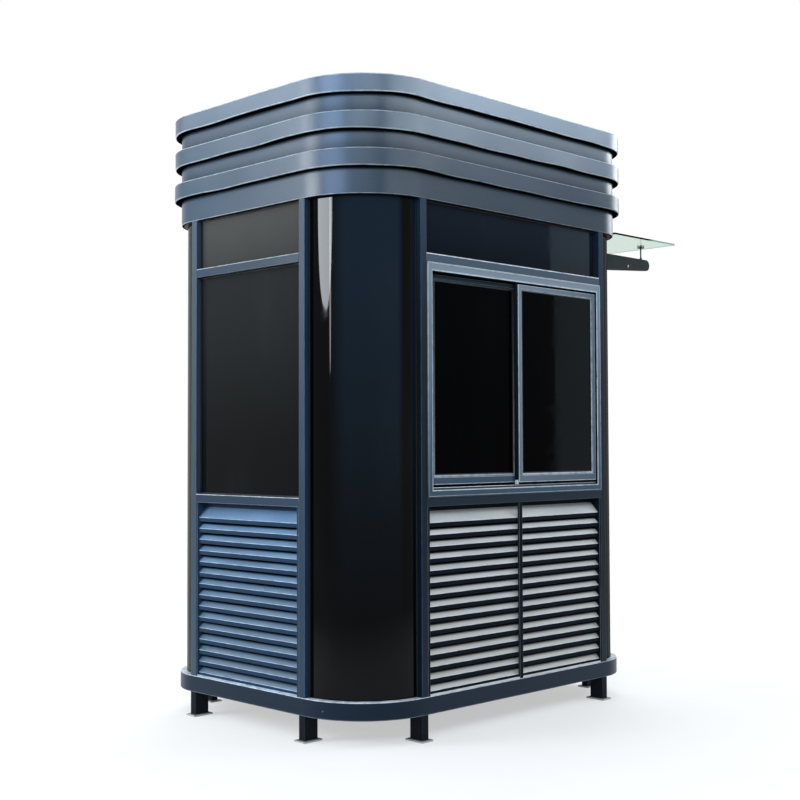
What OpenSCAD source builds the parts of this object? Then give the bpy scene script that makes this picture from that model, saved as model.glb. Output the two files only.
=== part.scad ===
// Guard booth: a steel tube frame with rounded corners, dark glazing, louvred
// lower panels, a banded crown and a glass canopy over the door.
// The front is -Y, the door side is +X, and the ground is z = 0.

/* [Body] */
// Width across the front, over the frame's outer faces
body_w = 2040; // [1700:10:2800]
// Depth from the front face to the back face
body_d = 1510; // [1300:10:2400]
// Radius of the wide corners, front left and back right, at the outer face
wide_r = 375; // [280:5:450]
// Radius of the tight corners, front right and back left, at the outer face
tight_r = 270; // [200:5:400]

/* [Frame] */
// Face width of a frame tube
tube_w = 40; // [30:1:60]
// Depth of a frame tube
tube_d = 80; // [70:1:120]
// Height of the legs, with their foot plates
leg_h = 117; // [60:1:200]
// Thickness of a foot plate
foot_t = 8; // [4:1:16]
// Margin of a foot plate around its leg
foot_margin = 16; // [8:1:30]
// Height of the base ring
ring_h = 82; // [60:1:140]
// Thickness of the floor panel
floor_t = 30; // [15:1:50]

/* [Storeys] */
// Height of the louvred panels, from the base ring to the sill rail
louvre_h = 856; // [700:1:1100]
// Height of the sill rail
sill_h = 42; // [30:1:70]
// Height of the windows, from the sill rail to the transom rail
window_h = 1079; // [800:1:1400]
// Height of the transom rail
transom_h = 42; // [30:1:70]
// Height of the top lights, from the transom rail to the crown
toplight_h = 246; // [150:1:400]

/* [Crown] */
// Height of the plain fascia under the bands
fascia_h = 120; // [90:5:220]
// Height of a band
band_h = 82; // [50:1:120]
// Gap between two bands
band_gap = 85; // [40:1:120]
// How far a band stands out
band_out = 34; // [15:1:60]
// Thickness of the crown's skin
skin_t = 12; // [6:1:20]
// Height of the head ring on the posts
head_h = 80; // [50:5:120]
// Thickness of the ceiling panel
ceiling_t = 18; // [10:1:30]
// Thickness of the roof deck
deck_t = 24; // [12:1:40]
// Depth of the roof deck below the crown's rim
deck_drop = 60; // [30:5:120]

/* [Glazing] */
// Thickness of a pane or corner panel
glass_t = 8; // [5:1:12]
// Depth of the panes behind the frame's face
glass_inset = 32; // [20:1:50]

/* [Sliding windows] */
// Face width of the window frame's jambs
win_face = 32; // [20:1:45]
// Height of the window frame's head
win_head_h = 40; // [20:1:60]
// Height of the bottom member, with its track ribs
track_h = 43; // [20:1:60]
// Height of a track rib
rib_h = 10; // [5:1:14]
// Thickness of a track rib
rib_t = 4; // [3:1:6]
// Depth of the window frame
win_d = 78; // [70:1:100]
// How far the window frame stands out in front of the posts
win_out = 6; // [0:1:12]
// Depth of a sash
sash_d = 22; // [20:1:28]
// Setback of the outer sash behind the window frame's face
sash_set = 4; // [2:1:8]
// Clearance beside, above and between the sashes
sash_gap = 3; // [2:0.5:5]
// Face width of a sash stile
stile_w = 40; // [25:1:50]
// Height of a sash's top rail
sash_top_h = 34; // [20:1:50]
// Height of a sash's bottom rail
sash_bottom_h = 57; // [35:1:80]
// Overlap of the two sashes in the middle
sash_lap = 40; // [20:1:60]

/* [Louvres] */
// Slats in a louvred panel
slat_count = 15; // [8:1:16]
// Depth of a slat
slat_d = 50; // [30:1:60]
// Rise of a slat from its outer to its inner edge
slat_rise = 54; // [40:1:65]
// Height of the lip at a slat's outer edge
slat_lip = 20; // [10:1:26]
// Height of the upstand at a slat's inner edge
slat_upstand = 20; // [8:1:24]
// Sheet thickness of a slat
slat_t = 3; // [2:0.5:4]
// Setback of the slats behind the frame's face
slat_inset = 10; // [6:1:20]
// Width of the louvre frame's side strips
strip_w = 14; // [8:1:25]
// Width of the flat mullion in front of the slats
mullion_w = 26; // [14:1:40]

/* [Door] */
// Gap around the door leaf
door_gap = 4; // [2:1:8]
// Depth of the door leaf
door_d = 60; // [50:1:80]
// Face width of the door's stiles and rails
door_face = 60; // [40:1:90]
// Hinges on the door
hinge_count = 3; // [2:1:4]
// Height of a hinge
hinge_h = 110; // [60:5:140]
// Radius of a hinge's knuckle
hinge_r = 8; // [6:1:12]
// Width of a hinge plate from the seam
hinge_w = 34; // [20:1:40]
// Thickness of a hinge plate
hinge_t = 4; // [3:1:5]
// Height of the door handle
handle_h = 300; // [150:10:500]
// Radius of the handle's bar
handle_r = 10; // [8:1:15]
// Distance of the handle's axis from the door's face
handle_out = 45; // [30:1:70]

/* [Canopy] */
// Width of the canopy glass along the wall
canopy_w = 1170; // [950:10:1400]
// Reach of the canopy glass from the wall
canopy_out = 595; // [580:5:900]
// Thickness of the canopy glass
canopy_t = 10; // [6:1:16]
// Height of the canopy glass over the crown's lower edge
canopy_lift = 36; // [20:1:75]
// Length of a canopy arm
arm_l = 575; // [545:5:580]
// Height of an arm at the wall
arm_root_h = 106; // [80:1:150]
// Height of an arm at its round end
arm_tip_h = 62; // [40:1:75]
// Thickness of an arm
arm_t = 20; // [10:1:30]
// Depth of an arm's top below the crown's lower edge
arm_drop = 37; // [20:1:60]
// Radius of a spider's rod
rod_r = 4; // [3:0.5:9]
// Span of a spider's cross bars
spider_span = 40; // [30:2:120]
// Width of a spider's cross bars
spider_w = 10; // [8:1:24]
// Height of a spider's cross bars
spider_h = 8; // [5:1:14]
// Distance of the inner spiders from the wall
spider_near = 130; // [90:5:250]
// Distance of the outer spiders from the wall
spider_far = 500; // [350:5:510]

/* [Hidden] */
$fn = 96;
// Overrun of every cut
over = 5;
floor_z = leg_h + ring_h;
sill_z = floor_z + louvre_h;
window_z = sill_z + sill_h;
transom_z = window_z + window_h;
toplight_z = transom_z + transom_h;
crown_z = toplight_z + toplight_h;
band_pitch = band_h + band_gap;
lower_band_z = crown_z + fascia_h;
middle_band_z = lower_band_z + band_pitch;
top_band_z = middle_band_z + band_pitch;
rim_z = top_band_z + band_h;
front_run = body_w - wide_r - tight_r;
side_run = body_d - wide_r - tight_r;
run_shift = (wide_r - tight_r) / 2;
// Corners in plan: the signs of x and y, and the radius
corners = [[-1, -1, wide_r], [1, -1, tight_r], [-1, 1, tight_r], [1, 1, wide_r]];
front_open = front_run - 2 * tube_w;
side_open = side_run - 2 * tube_w;
shift_x = (band_out - canopy_out) / 2;
sash_z = window_z + track_h;
sash_h = window_h - track_h - win_head_h - sash_gap;
sash_run = front_open - 2 * win_face - 2 * sash_gap;
sash_w = (sash_run + sash_lap) / 2;
sash_x = (sash_run - sash_w) / 2;
outer_sash_y = sash_set - win_out;
inner_sash_y = outer_sash_y + sash_d + sash_gap;
louvre_d = slat_inset + slat_d;
slat_h = slat_lip + slat_rise + slat_upstand;
slat_pitch = (louvre_h - slat_h) / (slat_count - 1);
door_z = floor_z + door_gap;
door_h = transom_z - floor_z - 2 * door_gap;
door_w = side_open - 2 * door_gap;
door_light_w = door_w - 2 * door_face;
door_louvre_z = door_z + door_face;
door_louvre_h = sill_z - door_louvre_z;
door_light_z = sill_z + door_face;
door_light_h = door_z + door_h - door_face - door_light_z;
// Radius of the handle's stand-offs, as a share of its bar's
handle_foot_share = 0.8;
canopy_z = crown_z + canopy_lift;
arm_z = crown_z - arm_drop;
arm_x = (side_open + tube_w) / 2;
arm_tip_r = arm_tip_h / 2;
arm_tip_y = arm_tip_r - arm_l;
steel = "#46566a";
sash_paint = "#5f7488";
dark_glass = "#14181d";
pale_glass = "#a9c8b4";
dark_metal = "#39443f";
deck_grey = "#8a8f92";
bright_steel = "#b9bcbb";

// The middle of the whole part, canopy included, stands over the origin.
module place() {
    translate([shift_x, 0, 0]) children();
}

// Each side has its own frame: x along it from the middle of its straight run,
// y inwards from its outer face, z up.
module on_front() {
    place() translate([run_shift, -body_d / 2, 0]) children();
}

module on_back() {
    place() rotate([0, 0, 180]) translate([run_shift, -body_d / 2, 0]) children();
}

module on_left() {
    place() rotate([0, 0, -90]) translate([-run_shift, -body_w / 2, 0]) children();
}

module on_right() {
    place() rotate([0, 0, 90]) translate([-run_shift, -body_w / 2, 0]) children();
}

// A box with its middle at x, from y inwards and from z upwards.
module bar(x, w, y, d, z, h) {
    translate([x - w / 2, y, z]) cube([w, d, h]);
}

// A profile drawn in y and z, carried along x.
module carried(x, w) {
    translate([x - w / 2, 0, 0]) rotate([90, 0, 90]) linear_extrude(w) children();
}

// The middle of a corner's arc.
function corner_middle(c) = [c[0] * (body_w / 2 - c[2]), c[1] * (body_d / 2 - c[2])];

// The plan outline with its rounded corners, drawn in by inset.
module outline(inset) {
    difference() {
        square([body_w - 2 * inset, body_d - 2 * inset], center = true);
        for (c = corners) translate([c[0] * body_w, c[1] * body_d] / 2)
            square(2 * c[2], center = true);
    }
    for (c = corners) translate(corner_middle(c)) circle(c[2] - inset);
}

// A wall along the outline, between two insets.
module outline_wall(outer, inner, z, h) {
    place() translate([0, 0, z]) linear_extrude(h) difference() {
        outline(outer);
        outline(inner);
    }
}

// A plate that fills the outline.
module outline_plate(inset, z, h) {
    place() translate([0, 0, z]) linear_extrude(h) outline(inset);
}

// The places of a side's two posts, at the ends of its straight run.
module at_posts(run) {
    for (s = [-1, 1]) translate([s * (run - tube_w) / 2, 0, 0]) children();
}

module leg() {
    bar(0, tube_w, 0, tube_d, foot_t, leg_h - foot_t);
    bar(0, tube_w + 2 * foot_margin, -foot_margin, tube_d + 2 * foot_margin, 0, foot_t);
}

module post() {
    bar(0, tube_w, 0, tube_d, floor_z, crown_z - floor_z);
}

module transom_rail(open) {
    bar(0, open, 0, tube_d, transom_z, transom_h);
}

module sill_rail(open) {
    bar(0, open, 0, tube_d, sill_z, sill_h);
}

module pane(w, z, h) {
    bar(0, w, glass_inset, glass_t, z, h);
}

// A curved corner panel between the side faces of two posts.
module corner_panel(c) {
    panel_h = crown_z - floor_z;
    outer_r = c[2] - glass_inset;
    place() translate(corner_middle(c)) translate([0, 0, floor_z]) intersection() {
        difference() {
            cylinder(panel_h, r = outer_r);
            translate([0, 0, -over]) cylinder(panel_h + 2 * over, r = outer_r - glass_t);
        }
        translate([min(c[0], 0) * c[2], min(c[1], 0) * c[2], 0]) cube([c[2], c[2], panel_h]);
    }
}

// The outer frame of a sliding window, with two track ribs on its bottom member.
module window_frame() {
    well_w = front_open - 2 * win_face;
    well_z = window_z + track_h - rib_h;
    difference() {
        bar(0, front_open, -win_out, win_d, window_z, window_h);
        bar(0, well_w, -win_out - over, win_d + 2 * over,
            well_z, window_z + window_h - win_head_h - well_z);
    }
    for (y = [outer_sash_y, inner_sash_y])
        bar(0, well_w, y + (sash_d - rib_t) / 2, rib_t, well_z - over, rib_h + over);
}

// The light of a sash, between its stiles and rails.
module sash_light(x, y, d) {
    bar(x, sash_w - 2 * stile_w, y, d,
        sash_z + sash_bottom_h, sash_h - sash_bottom_h - sash_top_h);
}

module sash(x, y) {
    difference() {
        bar(x, sash_w, y, sash_d, sash_z, sash_h);
        sash_light(x, y - over, sash_d + 2 * over);
    }
}

module sash_panes() {
    glass_y = (sash_d - glass_t) / 2;
    sash_light(sash_x, outer_sash_y + glass_y, glass_t);
    sash_light(-sash_x, inner_sash_y + glass_y, glass_t);
}

// A folded slat: an upright lip, a face that rises inwards, and an upstand.
module slat(w) {
    slope = slat_rise / slat_d;
    sheet_h = slat_t * sqrt(1 + slope * slope);
    translate([0, slat_inset, 0]) carried(0, w) polygon([
        [0, 0],
        [slat_t, 0],
        [slat_t, slat_lip + slat_t * slope - sheet_h],
        [slat_d, slat_lip + slat_rise - sheet_h],
        [slat_d, slat_h],
        [slat_d - slat_t, slat_h],
        [slat_d - slat_t, slat_lip + slat_rise - slat_t * slope],
        [0, slat_lip]
    ]);
}

// A louvred panel: side strips, and slats from bottom to top at about one pitch.
module louvre(w, z, h) {
    gaps = round((h - slat_h) / slat_pitch);
    pitch = (h - slat_h) / gaps;
    for (s = [-1, 1]) bar(s * (w - strip_w) / 2, strip_w, 0, louvre_d, z, h);
    for (i = [0 : gaps]) translate([0, 0, z + i * pitch]) slat(w);
}

// The wide louvre of the front and back, with a flat mullion on its slats' lips.
module wide_louvre() {
    louvre(front_open, floor_z, louvre_h);
    bar(0, mullion_w, 0, slat_inset, floor_z, louvre_h);
}

module door_openings() {
    bar(0, door_light_w, -over, door_d + 2 * over, door_louvre_z, door_louvre_h);
    bar(0, door_light_w, -over, door_d + 2 * over, door_light_z, door_light_h);
}

// A butt hinge on the seam between the door leaf and its post.
module hinge(z) {
    seam_x = (side_open - door_gap) / 2;
    bar(seam_x, 2 * hinge_w, -hinge_t, hinge_t, z, hinge_h);
    translate([seam_x, -hinge_r, z]) cylinder(hinge_h, r = hinge_r);
}

module canopy_arm() {
    carried(0, arm_t) union() {
        polygon([
            [0, arm_z],
            [0, arm_z - arm_root_h],
            [arm_tip_y, arm_z - arm_tip_h],
            [arm_tip_y, arm_z]
        ]);
        translate([arm_tip_y, arm_z - arm_tip_r]) circle(arm_tip_r);
    }
}

// A rod on the arm with crossed bars under the glass.
module spider(y) {
    translate([0, -y, 0]) {
        translate([0, 0, arm_z]) cylinder(canopy_z - spider_h / 2 - arm_z, r = rod_r);
        for (turn = [-45, 45]) rotate([0, 0, turn])
            bar(0, spider_span, -spider_w / 2, spider_w, canopy_z - spider_h, spider_h);
    }
}

module legs() {
    color(bright_steel) {
        on_front() at_posts(front_run) leg();
        on_back() at_posts(front_run) leg();
        on_left() at_posts(side_run) leg();
        on_right() at_posts(side_run) leg();
    }
}

module base_ring() { color(steel) outline_wall(0, tube_d, leg_h, ring_h); }

module floor_panel() { color(deck_grey) outline_plate(tube_d, floor_z - floor_t, floor_t); }

module front_posts() { color(steel) on_front() at_posts(front_run) post(); }

module back_posts() { color(steel) on_back() at_posts(front_run) post(); }

module left_posts() { color(steel) on_left() at_posts(side_run) post(); }

module right_posts() { color(steel) on_right() at_posts(side_run) post(); }

module front_rails() {
    color(steel) on_front() {
        sill_rail(front_open);
        transom_rail(front_open);
    }
}

module back_rails() {
    color(steel) on_back() {
        sill_rail(front_open);
        transom_rail(front_open);
    }
}

module left_rails() {
    color(steel) on_left() {
        sill_rail(side_open);
        transom_rail(side_open);
    }
}

module door_head_rail() { color(steel) on_right() transom_rail(side_open); }

module front_left_corner() { color(dark_glass) corner_panel(corners[0]); }

module front_right_corner() { color(dark_glass) corner_panel(corners[1]); }

module back_left_corner() { color(dark_glass) corner_panel(corners[2]); }

module back_right_corner() { color(dark_glass) corner_panel(corners[3]); }

module front_top_light() { color(dark_glass) on_front() pane(front_open, toplight_z, toplight_h); }

module back_top_light() { color(dark_glass) on_back() pane(front_open, toplight_z, toplight_h); }

module left_top_light() { color(dark_glass) on_left() pane(side_open, toplight_z, toplight_h); }

module right_top_light() { color(dark_glass) on_right() pane(side_open, toplight_z, toplight_h); }

module left_window_glass() { color(dark_glass) on_left() pane(side_open, window_z, window_h); }

module front_window_frame() { color(sash_paint) on_front() window_frame(); }

module front_outer_sash() { color(sash_paint) on_front() sash(sash_x, outer_sash_y); }

module front_inner_sash() { color(sash_paint) on_front() sash(-sash_x, inner_sash_y); }

module front_sash_glass() { color(dark_glass) on_front() sash_panes(); }

module back_window_frame() { color(sash_paint) on_back() window_frame(); }

module back_outer_sash() { color(sash_paint) on_back() sash(sash_x, outer_sash_y); }

module back_inner_sash() { color(sash_paint) on_back() sash(-sash_x, inner_sash_y); }

module back_sash_glass() { color(dark_glass) on_back() sash_panes(); }

module front_louvres() { color(steel) on_front() wide_louvre(); }

module back_louvres() { color(steel) on_back() wide_louvre(); }

module left_louvre() { color(steel) on_left() louvre(side_open, floor_z, louvre_h); }

module door_leaf() {
    color(steel) on_right() difference() {
        bar(0, door_w, 0, door_d, door_z, door_h);
        door_openings();
    }
}

module door_glass() { color(dark_glass) on_right() pane(door_light_w, door_light_z, door_light_h); }

module door_louvre() {
    color(steel) on_right() louvre(door_light_w, door_louvre_z, door_louvre_h);
}

module door_hinges() {
    step = (door_h - hinge_h - 2 * door_face) / (hinge_count - 1);
    color(bright_steel) on_right()
        for (i = [0 : hinge_count - 1]) hinge(door_z + door_face + i * step);
}

// An upright bar on two stand-offs, at the height of the door's middle rail.
module door_handle() {
    foot_z = (handle_h - 4 * handle_r) / 2;
    color(bright_steel) on_right()
        translate([(door_face - door_w) / 2, -handle_out, sill_z + door_face / 2]) {
            translate([0, 0, -handle_h / 2]) cylinder(handle_h, r = handle_r);
            for (s = [-1, 1]) translate([0, 0, s * foot_z]) rotate([-90, 0, 0])
                cylinder(handle_out, r = handle_r * handle_foot_share);
        }
}

module head_ring() { color(steel) outline_wall(skin_t, tube_d, crown_z, head_h); }

module ceiling_panel() { color(deck_grey) outline_plate(tube_d, crown_z, ceiling_t); }

module crown_fascia() { color(steel) outline_wall(0, skin_t, crown_z, rim_z - crown_z); }

module lower_band() { color(steel) outline_wall(-band_out, 0, lower_band_z, band_h); }

module middle_band() { color(steel) outline_wall(-band_out, 0, middle_band_z, band_h); }

module top_band() { color(steel) outline_wall(-band_out, 0, top_band_z, band_h); }

module roof_deck() { color(deck_grey) outline_plate(skin_t, rim_z - deck_drop - deck_t, deck_t); }

module canopy_glass() {
    color(pale_glass) on_right() bar(0, canopy_w, -canopy_out, canopy_out, canopy_z, canopy_t);
}

module canopy_arms() {
    color(dark_metal) on_right() for (s = [-1, 1]) translate([s * arm_x, 0, 0]) canopy_arm();
}

module canopy_spiders() {
    color(dark_metal) on_right() for (s = [-1, 1], y = [spider_near, spider_far])
        translate([s * arm_x, 0, 0]) spider(y);
}

legs();
base_ring();
floor_panel();
front_posts();
back_posts();
left_posts();
right_posts();
front_rails();
back_rails();
left_rails();
door_head_rail();
front_left_corner();
front_right_corner();
back_left_corner();
back_right_corner();
front_top_light();
back_top_light();
left_top_light();
right_top_light();
left_window_glass();
front_window_frame();
front_outer_sash();
front_inner_sash();
front_sash_glass();
back_window_frame();
back_outer_sash();
back_inner_sash();
back_sash_glass();
front_louvres();
back_louvres();
left_louvre();
door_leaf();
door_glass();
door_louvre();
door_hinges();
door_handle();
head_ring();
ceiling_panel();
crown_fascia();
lower_band();
middle_band();
top_band();
roof_deck();
canopy_glass();
canopy_arms();
canopy_spiders();
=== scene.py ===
import math

import bmesh
import bpy
import numpy as np
from mathutils import Matrix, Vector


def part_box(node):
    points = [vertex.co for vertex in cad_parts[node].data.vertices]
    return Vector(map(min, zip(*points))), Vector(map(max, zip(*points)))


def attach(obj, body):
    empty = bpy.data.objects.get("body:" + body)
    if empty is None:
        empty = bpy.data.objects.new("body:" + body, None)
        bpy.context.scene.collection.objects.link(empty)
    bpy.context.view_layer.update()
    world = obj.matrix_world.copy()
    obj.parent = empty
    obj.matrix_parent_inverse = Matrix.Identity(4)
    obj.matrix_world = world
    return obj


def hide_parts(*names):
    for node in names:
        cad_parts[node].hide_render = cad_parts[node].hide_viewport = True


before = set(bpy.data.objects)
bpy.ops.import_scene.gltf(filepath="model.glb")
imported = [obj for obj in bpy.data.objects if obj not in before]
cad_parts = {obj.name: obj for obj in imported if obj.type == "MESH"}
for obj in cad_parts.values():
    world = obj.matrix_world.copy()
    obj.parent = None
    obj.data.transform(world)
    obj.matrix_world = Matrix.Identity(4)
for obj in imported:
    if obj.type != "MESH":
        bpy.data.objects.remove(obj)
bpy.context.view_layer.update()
print("frame loaded,", len(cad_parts), "nodes")

# The plan and the levels come from the frame, so every piece follows it
ringLow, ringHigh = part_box("base_ring")
halfW, halfD = (ringHigh.x - ringLow.x) / 2, (ringHigh.y - ringLow.y) / 2
midX = (ringLow.x + ringHigh.x) / 2
wideRadius = 0.375        # front left and back right
tightRadius = 0.270       # front right and back left
tubeFace, tubeDepth = 0.040, 0.080
glassInset, glassThick = 0.032, 0.008
ringZ, floorZ = ringLow.z, ringHigh.z
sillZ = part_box("front_rails")[0].z
windowZ, transomZ = (corner.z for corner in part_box("front_window_frame"))
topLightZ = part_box("front_top_light")[0].z
crownZ, rimZ = (corner.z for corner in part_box("crown_fascia"))
runShift = (wideRadius - tightRadius) / 2
frontRun = 2 * halfW - (wideRadius + tightRadius)
sideRun = 2 * halfD - (wideRadius + tightRadius)
frontOpen, sideOpen = frontRun - 2 * tubeFace, sideRun - 2 * tubeFace
dice = np.random.default_rng(41)

# Each side has a frame of its own: origin, direction along it, direction inwards; then its run
sides = {
    "front": ((midX + runShift, -halfD, 0), (1, 0, 0), (0, 1, 0), frontRun),
    "back": ((midX - runShift, halfD, 0), (-1, 0, 0), (0, -1, 0), frontRun),
    "left": ((midX - halfW, runShift, 0), (0, -1, 0), (1, 0, 0), sideRun),
    "right": ((midX + halfW, -runShift, 0), (0, 1, 0), (-1, 0, 0), sideRun),
}
longSides = ("front", "back")


def onSide(side, points):
    # origin + x along the side + y inwards + z up
    origin, along, inward, _ = (np.asarray(value, float) for value in sides[side])
    up = np.array([0.0, 0.0, 1.0])
    return origin + points[..., :1] * along + points[..., 1:2] * inward + points[..., 2:] * up


def localBox(node, side):
    # A node's box in its side's own frame: x range, y range, z range
    corners = np.array([list(corner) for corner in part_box(node)])
    origin, along, inward, _ = (np.asarray(value, float) for value in sides[side])
    return sorted((corners - origin) @ along), sorted((corners - origin) @ inward), corners[:, 2]


def swayed(share, *waves):
    # A sum of sines along a length; each has its weight, its number of waves and its start
    return sum(weight * np.sin(2 * math.pi * (count * share + start)) for weight, count,
               start in waves)


def eased(value):
    # From 0 to 1 with level ends: 3 v^2 - 2 v^3
    held = np.clip(value, 0, 1)
    return held * held * (3 - 2 * held)


def rectangle(a0, a1, b0, b1):
    return [(a0, b0), (a1, b0), (a1, b1), (a0, b1)]


def inset(box, rim):
    x0, x1, z0, z1 = box
    return x0 + rim, x1 - rim, z0 + rim, z1 - rim


def byCorner(values):
    # One value for each corner of a mitred ring: bottom left, bottom right, top right, top left
    return np.array(values)[:, None]


def roundProfile(corners, radii, steps=3, hold=0.0006):
    # Each corner of a closed polygon gives way to an arc that touches both its sides;
    # a point on each side just beyond the arc keeps the flats flat when shaded smooth.
    # Returns the points, 1 on outward arcs, and the corner's number plus the share of its arc
    corner = np.asarray(corners, float)
    count = len(corner)
    radius = np.broadcast_to(np.asarray(radii, float), count)
    back = np.roll(corner, 1, 0) - corner
    ahead = np.roll(corner, -1, 0) - corner
    back /= np.linalg.norm(back, axis=1, keepdims=True)
    ahead /= np.linalg.norm(ahead, axis=1, keepdims=True)
    halfAngle = np.arccos(np.clip((back * ahead).sum(1), -0.9999, 0.9999)) / 2
    bisector = back + ahead
    bisector /= np.linalg.norm(bisector, axis=1, keepdims=True)
    centre = corner + bisector * (radius / np.sin(halfAngle))[:, None]
    reach = (radius / np.tan(halfAngle))[:, None]
    first, last = corner + back * reach, corner + ahead * reach
    startAngle = np.arctan2(*(first - centre).T[::-1])
    turn = np.arctan2(*(last - centre).T[::-1]) - startAngle
    turn = (turn + math.pi) % (2 * math.pi) - math.pi
    share = np.linspace(0, 1, steps + 1)
    angle = startAngle[:, None] + turn[:, None] * share
    arc = centre[:, None] + radius[:, None, None] * np.stack([np.cos(angle), np.sin(angle)], 2)
    points = np.concatenate([(first + back * hold)[:, None], arc, (last + ahead * hold)[:, None]],
                            1)
    cross = back[:, 0] * ahead[:, 1] - back[:, 1] * ahead[:, 0]
    area = (corner * np.roll(corner, -1, 0)[:, ::-1] * [1, -1]).sum()
    edge = np.zeros(points.shape[:2])
    edge[:, 1:-1] = (cross * area < 0)[:, None]
    station = np.concatenate([[0], share * 0.998, [0.999]])      # short of the next corner's number
    where = np.broadcast_to(np.arange(count)[:, None] + station, edge.shape)
    return points.reshape(-1, 2), edge.ravel(), where.ravel()


def roundBox(a0, a1, b0, b1, radii, steps=3):
    return roundProfile(rectangle(a0, a1, b0, b1), radii, steps)


def gridPart(points, edge, loop=False, **marks):
    # A grid of points (u, v, 3), closed along v, becomes quads between neighbours;
    # a loop closes along u too, and anything else has a cap on each end
    nu, nv = points.shape[:2]
    index = np.arange(nu * nv).reshape(nu, nv)
    wide = np.concatenate([index, index[:1]]) if loop else index
    wide = np.concatenate([wide, wide[:, :1]], 1)
    quads = np.stack([wide[:-1, :-1], wide[1:, :-1], wide[1:, 1:], wide[:-1, 1:]], -1).reshape(-1,
                                                                                               4)
    spread = {key: np.broadcast_to(value, (nu, nv)).ravel() for key,
              value in {"edge": edge, **marks}.items()}
    return {"points": points.reshape(-1, 3), "quads": quads, "marks": spread,
            "caps": [] if loop else [index[0], index[-1][::-1]]}


def sidePart(side, part):
    return {**part, "points": onSide(side, part["points"])}


def carry(axis, profile, stations, edge, draw=0.0, **marks):
    # A closed profile carried along x, y or z through its stations and drawn in at some of them:
    # middle + (profile - middle) * (1 - draw / half its size)
    along = "xyz".index(axis)
    across = [one for one in range(3) if one != along]
    middle = profile.mean(0)
    half = np.abs(profile - middle).max(0)
    share = 1 - np.broadcast_to(draw, len(stations))[:, None, None] / half
    grid = np.zeros((len(stations), len(profile), 3))
    grid[:, :, along] = np.array(stations)[:, None]
    grid[:, :, across] = middle + (profile - middle) * share
    return gridPart(grid, edge, **marks)


def barX(x0, x1, y0, y1, z0, z1, radius, crest=None, edgeWeight=1.0, lowEdgeWeight=0.2):
    # A bar along x, painted bright on its top arrises as a painted highlight, less so below; crest is the top
    # front arris
    profile, edge, where = roundBox(y0, y1, z0, z1, [radius] * 3 + [crest or radius])
    return carry("x", profile, (x0, x1), edge * np.where(where >= 2, 1.0, lowEdgeWeight) * edgeWeight)


def barZ(x0, x1, y0, y1, z0, z1, radius, edgeWeight=1.0):
    # A bar along z with its four arrises rounded
    profile, edge, _ = roundBox(x0, x1, y0, y1, radius)
    return carry("z", profile, (z0, z1), edge * edgeWeight)


def plateY(x0, x1, y0, y1, z0, z1, radius, soft=0.0012, edgeWeight=0.6):
    # A plate with rounded corners in (x, z), drawn in a little at both faces
    outline, _, _ = roundBox(x0, x1, z0, z1, radius)
    return carry("y", outline, (y0, y0 + soft, y1 - soft, y1), edgeWeight, (soft, 0, 0, soft))


def turned(outline, base, axis, count=24):
    # A surface of revolution: base + height * axis + radius * (cos across + sin other)
    radius, height = np.asarray(outline, float).T
    axis = np.asarray(axis, float)
    across = np.cross(axis, [0, 0, 1] if abs(axis[2]) < 0.9 else [1, 0, 0])
    across /= np.linalg.norm(across)
    other = np.cross(axis, across)
    angle = np.linspace(0, 2 * math.pi, count, endpoint=False)
    ring = np.cos(angle)[:, None] * across + np.sin(angle)[:, None] * other
    points = np.asarray(base, float) + height[:, None, None] * axis + radius[:, None, None] * ring
    return gridPart(points, 0.0)


def mitred(outer, inner, profile, width, edge, **marks):
    # Profile points (t, y): t runs from the outer rectangle to the inner one; mitred at four
    # corners
    corners = [np.array(rectangle(*box)) for box in (outer, inner)]
    share = (profile[:, 0] / width)[None, :, None]
    flat = corners[0][:, None] + share * (corners[1] - corners[0])[:, None]
    depth = np.broadcast_to(profile[:, 1], flat.shape[:2])
    return gridPart(np.stack([flat[..., 0], depth, flat[..., 1]], -1), edge, loop=True, **marks)


def sealRing(box, rim, front, back, arris):
    # A rounded strip of rubber round a pane
    profile, edge, _ = roundBox(0, rim, front, back, arris)
    return mitred(box, inset(box, rim), profile, rim, edge)


def outlinePath(arcSteps=20, runSteps=28):
    # Plan outline, anticlockwise: four arcs joined by straight runs, with outward normals
    wide, tight = wideRadius, tightRadius
    signs = np.array([(1, -1), (1, 1), (-1, 1), (-1, -1)], float)
    radius = np.array([tight, wide, tight, wide])
    centre = signs * (np.array([halfW, halfD]) - radius[:, None]) + [midX, 0]
    angle = math.pi / 2 * (np.arange(-1, 3)[:, None] + np.linspace(0, 1, arcSteps + 1))
    normal = np.stack([np.cos(angle), np.sin(angle)], 2)
    arc = centre[:, None] + radius[:, None, None] * normal
    share = np.linspace(0, 1, runSteps + 1)[1:-1, None]
    run = arc[:, -1:] + share * (np.roll(arc[:, 0], -1, 0)[:, None] - arc[:, -1:])
    points = np.concatenate([arc, run], 1).reshape(-1, 2)
    normals = np.concatenate([normal, np.repeat(normal[:, -1:], runSteps - 1, 1)], 1).reshape(-1, 2)
    step = np.linalg.norm(np.roll(points, -1, 0) - points, axis=1)
    travel = np.concatenate([[0], np.cumsum(step)[:-1]]) / step.sum()
    return points, normals, travel


def roundOutline(profile, edge, drift=None, **marks):
    # A profile (out, z) carried round the plan outline; drift adds a little to (out, z) along it
    points, normals, travel = outlinePath()
    out, high = (np.tile(column, (len(points), 1)) for column in profile.T)
    if drift:
        outDrift, highDrift = drift(travel[:, None], profile)
        out, high = out + outDrift, high + highDrift
    flat = points[:, None] + out[..., None] * normals[:, None]
    return gridPart(np.concatenate([flat, high[..., None]], -1), edge, loop=True, **marks)


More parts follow.
